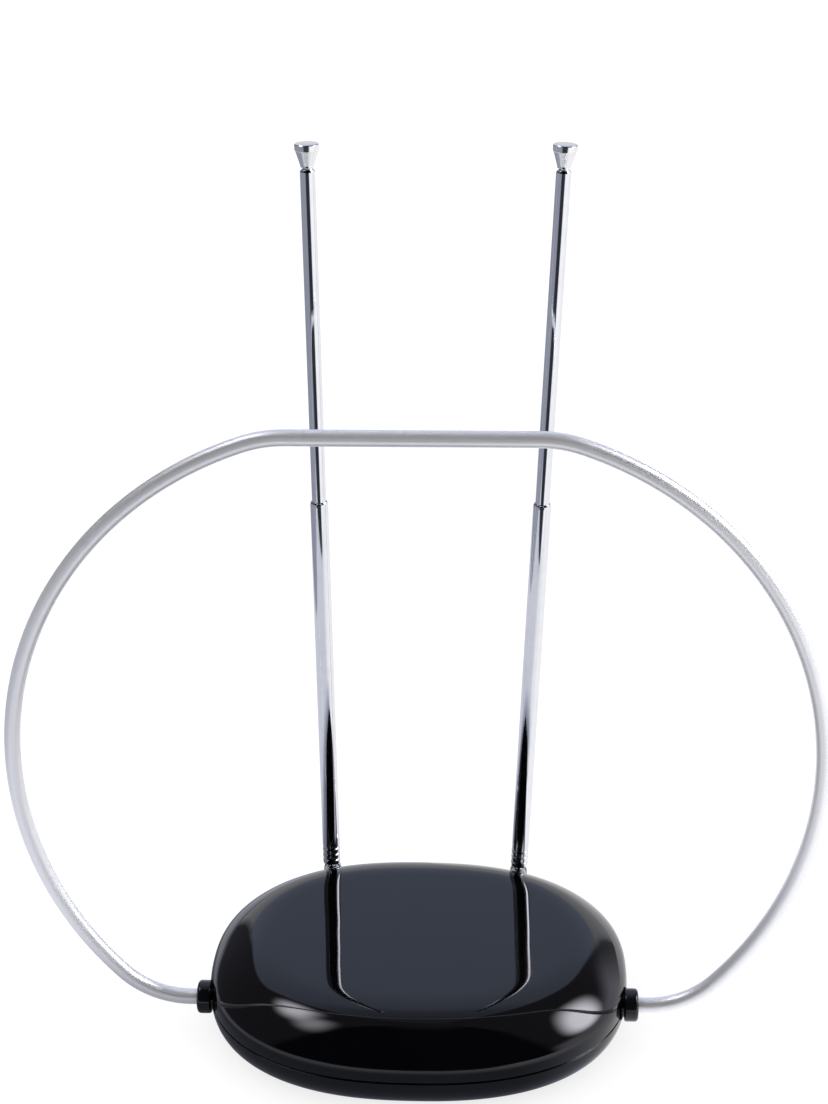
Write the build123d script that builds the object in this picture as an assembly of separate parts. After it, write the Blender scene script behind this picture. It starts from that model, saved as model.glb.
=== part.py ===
from build123d import *
import math
import os

os.makedirs("parts", exist_ok=True)

# ---------------------------------------------------------------- dimensions
# frame: +Z up, X across the loop, -Y the front, floor at z = 0
ZK = 10.2  # parting plane of the two shells = axis of the loop's pivots
KY = -14.05  # loop plane
BY = -1.85  # centre of the base
BA, BB = 55.5, 46.5  # half width and half depth of the base
R_FRONT, R_SIDE, R_CORNER = 99.3, 113.8, 40.9  # tangent arcs of the plan
WALL = 2.0
H_TOP = 13.3  # upper shell above the parting plane
SLOPE_IN, SLOPE_DOWN = 12.5, 9.0  # sloping shoulder of the upper shell
R_SHOULDER, R_RIM = 20.0, 7.0
Z_BOTTOM = 0.8  # underside of the lower shell, the feet stand below it
R_BOTTOM = 7.5

LOOP_R, LOOP_BORE = 2.0, 1.5  # loop tube
LOOP_SIDE_R, LOOP_TOP_R, LOOP_FOOT_R = 91.0, 32.0, 23.5
LOOP_HALF, LOOP_MID_Z, LOOP_TOP_Z = 101.1, 69.1, 156.8  # above the pivot axis
LOOP_END_X = 43.5

COLLAR_R, COLLAR_X0, COLLAR_X1 = 4.3, 54.2, 57.85
NECK_R, FLANGE_R = 3.2, 4.4
FIT = 0.05

PX, PY = 26.7, 38.95  # swivel axes of the two dipoles
BORE_STEM, STEM_R = 2.55, 2.5
BOSS = 2.4  # thickness of the bearing boss
PIN_Z = ZK + 5.9  # tilt pins
LEAN = {-1: 0.3, 1: 2.5}  # outward lean of each dipole as it stands, degrees

SCREWS = [(38, BY + 22), (-38, BY + 22), (36, BY - 26), (-36, BY - 26)]
FEET = [(26, BY + 26), (-26, BY + 26), (26, BY - 26), (-26, BY - 26)]
PEGS = [(20, -18), (-20, -18)]
BOARD_Z, BOARD_T = 5.2, 1.2
BOARD_SCREWS = [(13.5, 19.5), (-13.5, 19.5)]

SOCKET_Y = BY + BB + 3.7  # tip of the aerial socket
SEAT_Y = BY + 41.0  # flat land at the rear, seat of the socket's washer
PAD_Y = BY + 38.5  # inner face of the wall there
SOCKET_Z = 7.4
SOCKET_R = 4.4
THREAD_R = 4.76  # 3/8-32
SOCKET_FLANGE_R = 5.6
NUT_END = SEAT_Y + 2.8


def cyl(x, y, z0, z1, r):
    return Pos(x, y, (z0 + z1) / 2) * Cylinder(r, z1 - z0)


def box(x0, x1, y0, y1, z0, z1):
    return Pos((x0 + x1) / 2, (y0 + y1) / 2, (z0 + z1) / 2) * Box(
        abs(x1 - x0), abs(y1 - y0), abs(z1 - z0)
    )


def cyl_x(x0, x1, y, z, r):
    return Pos((x0 + x1) / 2, y, z) * Rot(0, 90, 0) * Cylinder(r, abs(x1 - x0))


def cyl_y(x, y0, y1, z, r):
    return Pos(x, (y0 + y1) / 2, z) * Rot(90, 0, 0) * Cylinder(r, abs(y1 - y0))


def save(shape, name):
    solids = shape.solids()
    shape = solids[0] if len(solids) == 1 else Compound(children=list(solids))
    shape.label = name
    export_step(shape, f"parts/{name}.step")


def outline(off):
    """Plan of the base moved in by off: eight tangent arcs, as a face."""
    c1 = (0.0, BB - R_FRONT)
    c2 = (BA - R_SIDE, 0.0)
    d1, d2 = R_FRONT - R_CORNER, R_SIDE - R_CORNER
    d = math.dist(c1, c2)
    along = (d1 * d1 - d2 * d2 + d * d) / (2 * d)
    up = math.sqrt(d1 * d1 - along * along)
    ux, uy = (c2[0] - c1[0]) / d, (c2[1] - c1[1]) / d
    mx, my = c1[0] + along * ux, c1[1] + along * uy
    cc = max(((mx - up * uy, my + up * ux), (mx + up * uy, my - up * ux)), key=sum)
    a1 = math.atan2(cc[1] - c1[1], cc[0] - c1[0])
    a2 = math.atan2(cc[1] - c2[1], cc[0] - c2[0])

    def at(c, r, a):
        return (c[0] + (r - off) * math.cos(a), c[1] + (r - off) * math.sin(a))

    p_side = at(c2, R_SIDE, a2)
    p_front = at(c1, R_FRONT, a1)
    p_mid = at(cc, R_CORNER, (a1 + a2) / 2)
    right, top = at(c2, R_SIDE, 0), at(c1, R_FRONT, math.pi / 2)

    def m(p, sx, sy):
        return (p[0] * sx, BY + p[1] * sy)

    edges = []
    edges.append(ThreePointArc(m(p_side, 1, -1), m(right, 1, 1), m(p_side, 1, 1)))
    edges.append(ThreePointArc(m(p_side, 1, 1), m(p_mid, 1, 1), m(p_front, 1, 1)))
    edges.append(ThreePointArc(m(p_front, 1, 1), m(top, 1, 1), m(p_front, -1, 1)))
    edges.append(ThreePointArc(m(p_front, -1, 1), m(p_mid, -1, 1), m(p_side, -1, 1)))
    edges.append(ThreePointArc(m(p_side, -1, 1), m(right, -1, 1), m(p_side, -1, -1)))
    edges.append(ThreePointArc(m(p_side, -1, -1), m(p_mid, -1, -1), m(p_front, -1, -1)))
    edges.append(ThreePointArc(m(p_front, -1, -1), m(top, 1, -1), m(p_front, 1, -1)))
    edges.append(ThreePointArc(m(p_front, 1, -1), m(p_mid, 1, -1), m(p_side, 1, -1)))
    return make_face(Wire(edges))


def slab(off, z0, z1):
    return extrude(Pos(0, 0, z0) * outline(off), z1 - z0)


def rim_edges(shape, z):
    return [e for e in shape.edges() if abs(e.center().Z - z) < 1e-4 and e.bounding_box().size.Z < 1e-4]


def dome(off, top, down, inward, r_top, r_low):
    """Upper pebble: upright rim, sloping shoulder, flat top, blended."""
    s = slab(off, ZK, top)
    face = s.faces().sort_by(Axis.Z)[-1]
    s = s.chamfer(inward, down, rim_edges(s, top), face)
    s = s.fillet(r_top, rim_edges(s, top))
    s = s.fillet(r_low, rim_edges(s, top - down))
    return s


# ---------------------------------------------------------------- base shells
outer_top = dome(0, ZK + H_TOP, SLOPE_DOWN, SLOPE_IN, R_SHOULDER, R_RIM)
inner_top = dome(WALL, ZK + H_TOP - WALL, 8.0, 11.1, R_SHOULDER - 2, R_RIM - 2)
outer_low = slab(0, Z_BOTTOM, ZK)
outer_low = outer_low.fillet(R_BOTTOM, rim_edges(outer_low, Z_BOTTOM))
inner_low = slab(WALL, Z_BOTTOM + WALL, ZK)
inner_low = inner_low.fillet(R_BOTTOM - WALL, rim_edges(inner_low, Z_BOTTOM + WALL))

top = outer_top - inner_top
low = outer_low - inner_low

# screw bosses of the upper shell, posts of the lower shell
for x, y in SCREWS:
    top += cyl(x, y, ZK - 0.3, ZK + 12, 3.5) & (outer_top + slab(1, ZK - 1, ZK))
    low += cyl(x, y, Z_BOTTOM + 1, ZK - 0.3, 3.5)

for s in (-1, 1):
    # side blocks that hold the loop's pivots, half in each shell
    block = box(s * 48.6, s * 56, KY - 7, KY + 7, ZK, ZK + 7)
    top += block & outer_top
    low += Pos(0, 0, -7) * block & outer_low
    # rear housings of the dipole swivels
    ear = cyl(s * PX, PY, 3.0, ZK, 6.2)
    ear = chamfer(ear.edges().sort_by(Axis.Z)[0], 1.5)
    low += ear
    top += cyl(s * PX, PY, ZK, ZK + BOSS, 6.2)
    top += cyl(s * PX, PY, ZK + BOSS, ZK + 14, 6.4) & outer_top
    top += box(s * PX, s * 41, PY - 4.2, PY + 12, ZK + 1.4, ZK + 12) & outer_top

# aerial socket: pad inside, flat seat outside, half hole in each shell
pad = box(-11, 11, PAD_Y, BY + BB, Z_BOTTOM + 1, ZK + 12)
top += pad & outer_top
low += pad & outer_low

# locating lip of the upper shell, inside the lower one
lip = slab(WALL - 0.3, ZK, ZK + 1.5) - slab(3.1, ZK, ZK + 1.5)
lip += slab(WALL + 0.1, ZK - 1.5, ZK) - slab(3.1, ZK - 1.5, ZK)
for s in (-1, 1):
    lip -= box(s * 44, s * 58, KY - 7.3, KY + 7.3, ZK - 3, ZK + 3)
    lip -= cyl(s * PX, PY, ZK - 3, ZK + 3, 6.5)
lip -= box(-11.3, 11.3, PAD_Y - 4, BY + BB, ZK - 3, ZK)
top += lip

for s in (-1, 1):
    # recess for the collar, bore for its neck
    cuts = cyl_x(s * (COLLAR_X0 - 0.25), s * 60, KY, ZK, COLLAR_R + 0.35)
    cuts += cyl_x(s * 46, s * COLLAR_X0, KY, ZK, NECK_R + FIT)
    top -= cuts
    low -= cuts
    # swivel: stem bore, pocket above, open to the rear and outward
    top -= cyl(s * PX, PY, ZK - 1, ZK + 4, BORE_STEM)
    top -= cyl(s * PX, PY, ZK + BOSS, ZK + 16, 5.2)
    top -= box(s * PX - 5.2, s * PX + 5.2, PY, PY + 14, ZK + BOSS, ZK + 16)
    top -= box(s * PX, s * 44, PY - 3.0, PY + 14, ZK + 2.9, ZK + 16)
    low -= cyl(s * PX, PY, 5.0, ZK + 1, 4.2)
    low -= box(s * PX - 3.2, s * PX + 3.2, PY - 9, PY, 6.6, ZK + 1)

hole = cyl_y(0, PAD_Y - 1, BY + BB + 1, SOCKET_Z, SOCKET_R + 0.1)
seat = box(-9, 9, SEAT_Y, BY + BB + 3, 0, 30)
top = top - hole - seat
low = low - hole - seat

for x, y in SCREWS:
    top -= cyl(x, y, ZK - 1, ZK + 6.5, 1.25)
    low -= cyl(x, y, Z_BOTTOM - 1, ZK, 1.6)
    low -= cyl(x, y, Z_BOTTOM - 1, Z_BOTTOM + 3.4, 3.0)
for x, y in SCREWS:
    # the post keeps a wall round the screw's counterbore
    ring = cyl(x, y, Z_BOTTOM + 1, Z_BOTTOM + 4.6, 4.4) - cyl(x, y, 0, Z_BOTTOM + 3.4, 3.0)
    low += ring - cyl(x, y, 0, ZK, 1.6)
for x, y in FEET:
    low -= cyl(x, y, Z_BOTTOM - 1, Z_BOTTOM + 0.8, 4.6)
# shadow gap along the parting line
gap = slab(-1, ZK - 0.4, ZK) - slab(0.35, ZK - 0.4, ZK)
low -= gap
# staked pegs of the ballast plate
PLATE_Z = Z_BOTTOM + WALL + 0.4
for x, y in PEGS:
    low += cyl(x, y, Z_BOTTOM + 1, PLATE_Z + 4.0, 1.5)
    low += cyl(x, y, PLATE_Z + 4.0, PLATE_Z + 4.8, 2.4)
for x, y in BOARD_SCREWS:
    low += cyl(x, y, Z_BOTTOM + 1, BOARD_Z, 2.5)
    low -= cyl(x, y, Z_BOTTOM + 2.4, BOARD_Z + 1, 0.9)
low += box(-17, 17, 27.5, 29.0, Z_BOTTOM + 1, BOARD_Z)
save(top, "top_shell")
save(low, "bottom_shell")

feet = Compound(children=[fillet(cyl(x, y, 0, Z_BOTTOM + 0.8, 4.5).edges().sort_by(Axis.Z)[0], 0.4) for x, y in FEET])
save(feet, "rubber_feet")

screws = []
for x, y in SCREWS:
    sc = cyl(x, y, Z_BOTTOM + 3.4, ZK + 5.5, 1.25)
    head = cyl(x, y, Z_BOTTOM + 1.6, Z_BOTTOM + 3.4, 2.7)
    head = fillet(head.edges().sort_by(Axis.Z)[0], 0.5)
    head -= box(x - 1.8, x + 1.8, y - 0.35, y + 0.35, 0, Z_BOTTOM + 2.5)
    head -= box(x - 0.35, x + 0.35, y - 1.8, y + 1.8, 0, Z_BOTTOM + 2.5)
    screws.append(sc + head)
save(Compound(children=screws), "case_screws")

# ---------------------------------------------------------------- inside the base
plate = box(-27, 27, -34, -2, PLATE_Z, PLATE_Z + 4.0)
plate = plate.fillet(3, [e for e in plate.edges() if e.bounding_box().size.Z > 3])
for x, y in PEGS:
    plate -= cyl(x, y, 0, 20, 1.6)
save(plate, "ballast_plate")
pads = Compound(children=[box(-24, -8, -30, -6, Z_BOTTOM + WALL, PLATE_Z), box(8, 24, -30, -6, Z_BOTTOM + WALL, PLATE_Z)])
pads = Compound(children=[p - cyl(x, -18, 0, 20, 1.7) for p, x in zip(pads.solids().sort_by(Axis.X), (-20, 20))])
save(pads, "ballast_tape")

board = box(-17, 17, 9, 31, BOARD_Z, BOARD_Z + BOARD_T)
for x, y in BOARD_SCREWS:
    board -= cyl(x, y, 0, 20, 1.1)
save(board, "circuit_board")
bs = []
for x, y in BOARD_SCREWS:
    b = cyl(x, y, BOARD_Z - 1.8, BOARD_Z + BOARD_T, 0.9) + cyl(x, y, BOARD_Z + BOARD_T, BOARD_Z + BOARD_T + 1.2, 1.9)
    b -= box(x - 1.3, x + 1.3, y - 0.2, y + 0.2, BOARD_Z + BOARD_T + 0.6, 20)
    bs.append(b)
save(Compound(children=bs), "board_screws")

# matching transformer: two-hole core with a hairpin winding
CORE_Y0, CORE_Y1, CORE_Z = 17.0, 24.0, BOARD_Z + BOARD_T
core = box(-4.5, 4.5, CORE_Y0, CORE_Y1, CORE_Z, CORE_Z + 5.2)
core = core.fillet(2.2, [e for e in core.edges() if e.bounding_box().size.Y > 6])
for s in (-1, 1):
    core -= cyl_y(s * 2.1, CORE_Y0 - 1, CORE_Y1 + 1, CORE_Z + 2.6, 1.0)
save(core, "balun_core")
zc = CORE_Z + 2.6
pts = [(-2.1, 15.2, CORE_Z), (-2.1, 15.2, zc), (-2.1, 25.6, zc), (2.1, 25.6, zc), (2.1, 15.2, zc), (2.1, 15.2, CORE_Z)]
path = FilletPolyline(*pts, radius=0.9)
winding = sweep(Plane(origin=pts[0], z_dir=(0, 0, 1)) * Circle(0.45), path)
save(winding, "balun_winding")

# ---------------------------------------------------------------- aerial socket
body = cyl_y(0, PAD_Y - 1.4, PAD_Y, SOCKET_Z, SOCKET_FLANGE_R)
body -= box(-9, 9, PAD_Y - 3, PAD_Y + 3, 0, Z_BOTTOM + WALL + 0.15)
body += cyl_y(0, PAD_Y - 5.0, PAD_Y - 1.4, SOCKET_Z, 4.2)
body += cyl_y(0, PAD_Y, NUT_END, SOCKET_Z, SOCKET_R)
body += cyl_y(0, NUT_END, SOCKET_Y, SOCKET_Z, THREAD_R)
body -= cyl_y(0, PAD_Y - 6, SOCKET_Y + 1, SOCKET_Z, 3.4)
body = body.chamfer(0.4, None, [e for e in body.edges() if abs(e.center().Y - SOCKET_Y) < 1e-4 and e.radius > 4])
save(body, "coax_socket_body")
washer = cyl_y(0, SEAT_Y, SEAT_Y + 0.6, SOCKET_Z, 5.6) - cyl_y(0, SEAT_Y - 1, SEAT_Y + 2, SOCKET_Z, SOCKET_R)
save(washer, "coax_socket_washer")
nut = Pos(0, SEAT_Y + 0.6, SOCKET_Z) * Rot(-90, 0, 0) * extrude(RegularPolygon(5.5, 6, major_radius=False, rotation=30), 2.2)
nut = nut - cyl_y(0, SEAT_Y, SEAT_Y + 4, SOCKET_Z, SOCKET_R)
save(nut, "coax_socket_nut")
ins = cyl_y(0, PAD_Y - 5.0, SOCKET_Y - 0.6, SOCKET_Z, 3.4) - cyl_y(0, PAD_Y - 6, SOCKET_Y + 1, SOCKET_Z, 0.9)
save(ins, "coax_socket_insulator")
con = cyl_y(0, PAD_Y - 6.0, SOCKET_Y - 1.2, SOCKET_Z, 0.9) - cyl_y(0, SOCKET_Y - 8, SOCKET_Y, SOCKET_Z, 0.5)
# tail bent down to the board
tail = FilletPolyline((0, PAD_Y - 6.0, SOCKET_Z), (0, 29.6, SOCKET_Z), (0, 29.6, BOARD_Z + BOARD_T), radius=0.8)
con += sweep(Plane(origin=(0, PAD_Y - 6.0, SOCKET_Z), z_dir=(0, -1, 0)) * Circle(0.5), tail)
save(con, "coax_socket_contact")

# ---------------------------------------------------------------- loop
xc, zc = LOOP_HALF - LOOP_SIDE_R, LOOP_MID_Z


def inner_arc(z_centre, r):
    dz = z_centre - zc
    dx = math.sqrt((LOOP_SIDE_R - r) ** 2 - dz * dz)
    return xc + dx, math.atan2(dz, dx)


xt, at = inner_arc(LOOP_TOP_Z - LOOP_TOP_R, LOOP_TOP_R)
xb, ab = inner_arc(LOOP_FOOT_R, LOOP_FOOT_R)


def P(x, z, s):
    return (s * x, KY, ZK + z)


def arc3(cx, cz, r, a0, a1, s):
    return [P(cx + r * math.cos(a), cz + r * math.sin(a), s) for a in (a0, (a0 + a1) / 2, a1)]


half = {}
for s in (-1, 1):
    foot = arc3(xb, LOOP_FOOT_R, LOOP_FOOT_R, -math.pi / 2, ab, s)
    side = arc3(xc, zc, LOOP_SIDE_R, ab, at, s)
    head = arc3(xt, LOOP_TOP_Z - LOOP_TOP_R, LOOP_TOP_R, at, math.pi / 2, s)
    half[s] = (foot, side, head)
edges = [Line(P(LOOP_END_X, 0, -1), half[-1][0][0])]
edges += [ThreePointArc(*half[-1][k]) for k in (0, 1, 2)]
edges += [Line(half[-1][2][2], half[1][2][2])]
edges += [ThreePointArc(*half[1][k][::-1]) for k in (2, 1, 0)]
edges += [Line(half[1][0][0], P(LOOP_END_X, 0, 1))]
loop_path = Wire(edges)
sec = Plane(origin=P(LOOP_END_X, 0, -1), z_dir=(-1, 0, 0))
loop_tube = sweep(sec * Circle(LOOP_R), loop_path) - sweep(sec * Circle(LOOP_BORE), loop_path)
save(loop_tube, "loop_tube")

for s, side in ((-1, "left"), (1, "right")):
    ring = cyl_x(s * COLLAR_X0, s * COLLAR_X1, KY, ZK, COLLAR_R)
    ring = ring.chamfer(0.8, None, [e for e in ring.edges() if e.geom_type == GeomType.CIRCLE])
    ring += cyl_x(s * 48.25, s * (COLLAR_X0 + 0.5), KY, ZK, NECK_R)
    ring += cyl_x(s * 47.0, s * 48.25, KY, ZK, FLANGE_R)
    ring -= cyl_x(s * 40, s * 60, KY, ZK, LOOP_R)
    save(ring, f"loop_collar_{side}")
    clip = cyl_x(s * 44.0, s * 46.0, KY, ZK, 3.0) + box(s * 44.0, s * 46.0, KY - 1.5, KY + 1.5, Z_BOTTOM + WALL, ZK)
    clip -= cyl_x(s * 40, s * 50, KY, ZK, LOOP_R + FIT)
    save(clip, f"loop_contact_{side}")
    lead = FilletPolyline(
        (s * 15, 13.4, 7.1), (s * 24, 13.4, 7.1), (s * 32.6, 13.4, 4.8), (s * 32.6, KY, 4.8), (s * 44.0, KY, 4.8), radius=2.5
    )
    save(sweep(Plane(origin=(s * 15, 13.4, 7.1), z_dir=(s, 0, 0)) * Circle(0.7), lead), f"loop_lead_{side}")

# ---------------------------------------------------------------- dipoles
def turned(points, x, y):
    """Solid of revolution about the vertical line through x, y from (r, z) points."""
    face = make_face(Polyline(*[(r, 0, z) for r, z in points], close=True))
    return Pos(x, y, 0) * revolve(face, Axis.Z, 360)


def tube(outer, inner, x, y):
    return turned(list(outer) + list(reversed(inner)), x, y)


for s, side in ((-1, "left"), (1, "right")):
    x0 = s * PX
    z = ZK
    # contact lug fixed under the bearing boss, with its tab and lead
    lug = cyl(x0, PY, z - 0.5, z, 4.0) + box(x0 - 1.5, x0 + 1.5, PY - 8, PY - 3, z - 0.5, z)
    lug -= cyl(x0, PY, z - 1, z + 1, BORE_STEM + 0.25)
    save(lug, f"dipole_lug_{side}")
    lead = FilletPolyline((s * 12, 26, 7.1), (s * 17.5, 26, 7.1), (s * 22.5, PY - 7, 8.9), (x0 + s * 0.6, PY - 7, 8.98), radius=1.6)
    save(sweep(Plane(origin=(s * 12, 26, 7.1), z_dir=(s, 0, 0)) * Circle(0.7), lead), f"dipole_lead_{side}")
    # spring washer and retaining nut below
    save(
        cyl(x0, PY, z - 1.2, z - 0.55, 3.7) - cyl(x0, PY, z - 2, z + 1, STEM_R),
        f"swivel_spring_{side}",
    )
    rn = Pos(x0, PY, z - 3.0) * extrude(RegularPolygon(3.7, 6), 1.8) - cyl(x0, PY, z - 4, z + 1, 1.8)
    save(rn, f"swivel_nut_{side}")
    # swivel: stem, flange and fork
    sw = cyl(x0, PY, z - 1.2, z + BOSS + 0.05, STEM_R) + cyl(x0, PY, z - 4.0, z - 1.2, 1.8)
    sw += chamfer(cyl(x0, PY, z + BOSS + 0.05, z + 3.4, 4.6).edges().group_by(Axis.Z)[-1], 0.3)
    for f in (-1, 1):
        y0, y1 = PY + f * 1.45, PY + f * 2.9
        sw += box(x0 - 2.4, x0 + 2.4, min(y0, y1), max(y0, y1), z + 3.2, PIN_Z)
        sw += cyl_y(x0, min(y0, y1), max(y0, y1), PIN_Z, 2.4)
    sw -= cyl_y(x0, PY - 4, PY + 4, PIN_Z, 0.8)
    save(sw, f"dipole_swivel_{side}")
    pin = cyl_y(x0, PY - 2.9, PY + 2.9, PIN_Z, 0.8)
    pin += cyl_y(x0, PY - 3.3, PY - 2.9, PIN_Z, 1.35) + cyl_y(x0, PY + 2.9, PY + 3.3, PIN_Z, 1.35)
    save(pin, f"tilt_pin_{side}")

    def stand(shape):
        """Lean a part of the dipole outward about its tilt pin."""
        return Pos(x0, PY, PIN_Z) * Rot(0, s * LEAN[s], 0) * Pos(-x0, -PY, -PIN_Z) * shape

    groove = [(2.4, 11.5), (2.2, 11.8), (2.2, 12.2), (2.4, 12.5), (2.4, 14.3), (2.2, 14.6), (2.2, 15.0), (2.4, 15.3)]
    outer = [(1.55, 8.65), (2.0, 8.8), (2.3, 9.2), (2.4, 9.7)] + groove
    outer += [(2.4, 119.0), (2.3, 119.7), (2.1, 120.2)]
    inner = [(1.4, 8.7), (1.4, 9.0), (2.2, 10.0)] + [(r - 0.2, q) for r, q in groove]
    inner += [(2.2, 118.6), (1.95, 118.9), (1.95, 120.2)]
    save(stand(tube([(r, z + q) for r, q in outer], [(r, z + q) for r, q in inner], x0, PY)), f"dipole_section_1_{side}")
    shank = [(0, 7.4), (1.35, 7.4), (1.35, 9.0), (2.2, 10.0)] + [(r - 0.2, q) for r, q in groove] + [(2.2, 17.5), (0, 17.5)]
    plug = turned([(r, z + q) for r, q in shank], x0, PY)
    plug += cyl_y(x0, PY - 1.4, PY + 1.4, PIN_Z, 2.2)
    plug -= cyl_y(x0, PY - 4, PY + 4, PIN_Z, 0.85)
    save(stand(plug), f"dipole_end_plug_{side}")

    outer = [(1.9, 113.3), (1.9, 207.3), (1.8, 208.0), (1.65, 208.3)]
    inner = [(1.7, 113.3), (1.7, 206.8), (1.45, 207.1), (1.45, 208.3)]
    save(stand(tube([(r, z + q) for r, q in outer], [(r, z + q) for r, q in inner], x0, PY)), f"dipole_section_2_{side}")
    save(stand(tube([(2.15, z + 113.3), (2.15, z + 118.3)], [(1.9, z + 113.3), (1.9, z + 118.3)], x0, PY)), f"section_2_bush_{side}")

    outer = [(1.4, 115.5), (1.4, 207.9), (1.3, 208.4), (1.15, 208.7)]
    inner = [(1.2, 115.5), (1.2, 207.3), (0.95, 207.5), (0.95, 208.7)]
    save(stand(tube([(r, z + q) for r, q in outer], [(r, z + q) for r, q in inner], x0, PY)), f"dipole_section_3_{side}")
    save(stand(tube([(1.65, z + 115.5), (1.65, z + 119.5)], [(1.4, z + 115.5), (1.4, z + 119.5)], x0, PY)), f"section_3_bush_{side}")

    save(stand(cyl(x0, PY, z + 118.0, z + 211.2, 0.9)), f"dipole_rod_{side}")
    save(stand(cyl(x0, PY, z + 118.0, z + 121.0, 1.15) - cyl(x0, PY, z + 110, z + 130, 0.9)), f"rod_bush_{side}")
    cap = [(0, 211.2), (0.9, 211.2), (0.9, 208.9), (1.4, 208.9), (1.55, 209.1), (3.0, 213.7), (3.1, 214.0), (3.1, 214.3), (2.9, 214.6), (0, 214.7)]
    save(stand(turned([(r, z + q) for r, q in cap], x0, PY)), f"tip_cap_{side}")
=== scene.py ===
import bpy, bmesh, math
from mathutils import Vector, Matrix
from mathutils.bvhtree import BVHTree
from math import sin, cos, pi, sqrt, radians, atan2, hypot


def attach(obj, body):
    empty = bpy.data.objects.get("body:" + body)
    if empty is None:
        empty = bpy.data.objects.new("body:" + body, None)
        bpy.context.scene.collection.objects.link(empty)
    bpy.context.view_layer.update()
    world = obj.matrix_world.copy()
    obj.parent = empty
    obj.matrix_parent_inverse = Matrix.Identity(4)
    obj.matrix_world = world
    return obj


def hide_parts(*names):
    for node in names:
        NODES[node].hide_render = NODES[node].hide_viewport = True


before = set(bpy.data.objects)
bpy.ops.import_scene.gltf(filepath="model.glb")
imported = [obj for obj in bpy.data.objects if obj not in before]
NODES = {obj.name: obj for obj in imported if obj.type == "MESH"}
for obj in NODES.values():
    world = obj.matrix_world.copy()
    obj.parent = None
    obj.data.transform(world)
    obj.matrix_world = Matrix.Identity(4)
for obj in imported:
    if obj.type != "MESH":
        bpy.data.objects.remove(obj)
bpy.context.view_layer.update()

MM = 0.001
ZK, KY, BY = 10.2, -14.05, -1.85
BA, BB, NS = 55.5, 46.5, 2.35
H_TOP, Z_BOTTOM, WALL = 13.3, 0.8, 2.0
PX, PY, BOSS = 26.7, 38.95, 2.4
SOCKET_Z, SEAT_Y, PAD_Y, SOCKET_Y = 7.4, BY + 41.0, BY + 38.5, BY + BB + 3.7
PIN_Z = ZK + 5.9
LEAN = {-1: 0.3, 1: 2.5}
SIDE = {-1: "left", 1: "right"}

# ------------------------------------------------------------------ node helpers


class Mat:
    """A material with short calls for its nodes."""

    def __init__(self, name, base, rough, metal=0.0, **kw):
        self.m = bpy.data.materials.new(name)
        self.m.use_nodes = True
        self.t = self.m.node_tree
        self.t.nodes.clear()
        self.out = self.t.nodes.new("ShaderNodeOutputMaterial")
        self.b = self.t.nodes.new("ShaderNodeBsdfPrincipled")
        self.t.links.new(self.b.outputs[0], self.out.inputs[0])
        self.b.inputs["Base Color"].default_value = (*base, 1)
        self.b.inputs["Roughness"].default_value = rough
        self.b.inputs["Metallic"].default_value = metal
        for k, v in kw.items():
            self.b.inputs[k.replace("_", " ")].default_value = v
        self.base, self.rough = base, rough

    def node(self, kind, **kw):
        n = self.t.nodes.new(kind)
        for k, v in kw.items():
            if k.startswith("i_"):
                n.inputs[k[2:].replace("_", " ")].default_value = v
            else:
                setattr(n, k, v)
        return n

    def link(self, a, b):
        self.t.links.new(a, b)

    def coords(self, scale=(1, 1, 1), kind="Object"):
        tc = self.node("ShaderNodeTexCoord")
        mp = self.node("ShaderNodeMapping")
        mp.inputs["Scale"].default_value = scale
        self.link(tc.outputs[kind], mp.inputs["Vector"])
        return mp.outputs[0]

    def noise(self, vec, scale, detail=4, rough=0.55, dist=0.0):
        n = self.node("ShaderNodeTexNoise")
        n.inputs["Scale"].default_value = scale
        n.inputs["Detail"].default_value = detail
        n.inputs["Roughness"].default_value = rough
        n.inputs["Distortion"].default_value = dist
        self.link(vec, n.inputs["Vector"])
        return n.outputs["Fac"]

    def ramp(self, fac, stops):
        r = self.node("ShaderNodeValToRGB")
        e = r.color_ramp.elements
        while len(e) < len(stops):
            e.new(0.5)
        for k, (p, c) in enumerate(stops):
            e[k].position = p
            e[k].color = (*c, 1) if isinstance(c, tuple) else (c, c, c, 1)
        self.link(fac, r.inputs[0])
        return r.outputs[0]

    def remap(self, fac, lo, hi, a=0.3, b=0.7):
        r = self.node("ShaderNodeMapRange")
        r.inputs["From Min"].default_value = a
        r.inputs["From Max"].default_value = b
        r.inputs["To Min"].default_value = lo
        r.inputs["To Max"].default_value = hi
        self.link(fac, r.inputs[0])
        return r.outputs[0]

    def math(self, op, a, b):
        n = self.node("ShaderNodeMath", operation=op)
        for k, v in enumerate((a, b)):
            if isinstance(v, (int, float)):
                n.inputs[k].default_value = v
            else:
                self.link(v, n.inputs[k])
        return n.outputs[0]

    def bump(self, height, strength, distance):
        n = self.node("ShaderNodeBump")
        n.inputs["Strength"].default_value = strength
        n.inputs["Distance"].default_value = distance
        self.link(height, n.inputs["Height"])
        self.link(n.outputs[0], self.b.inputs["Normal"])
        return n

    def mix(self, fac, a, b):
        n = self.node("ShaderNodeMix", data_type="RGBA")
        for key, v in (("A", a), ("B", b)):
            s = [i for i in n.inputs if i.name == key and i.type == "RGBA"][0]
            if isinstance(v, tuple):
                s.default_value = (*v, 1)
            else:
                self.link(v, s)
        f = [i for i in n.inputs if i.name == "Factor" and i.type == "VALUE"][0]
        if isinstance(fac, (int, float)):
            f.default_value = fac
        else:
            self.link(fac, f)
        return [o for o in n.outputs if o.type == "RGBA"][0]

    def to(self, out, name):
        self.link(out, self.b.inputs[name])


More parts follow.
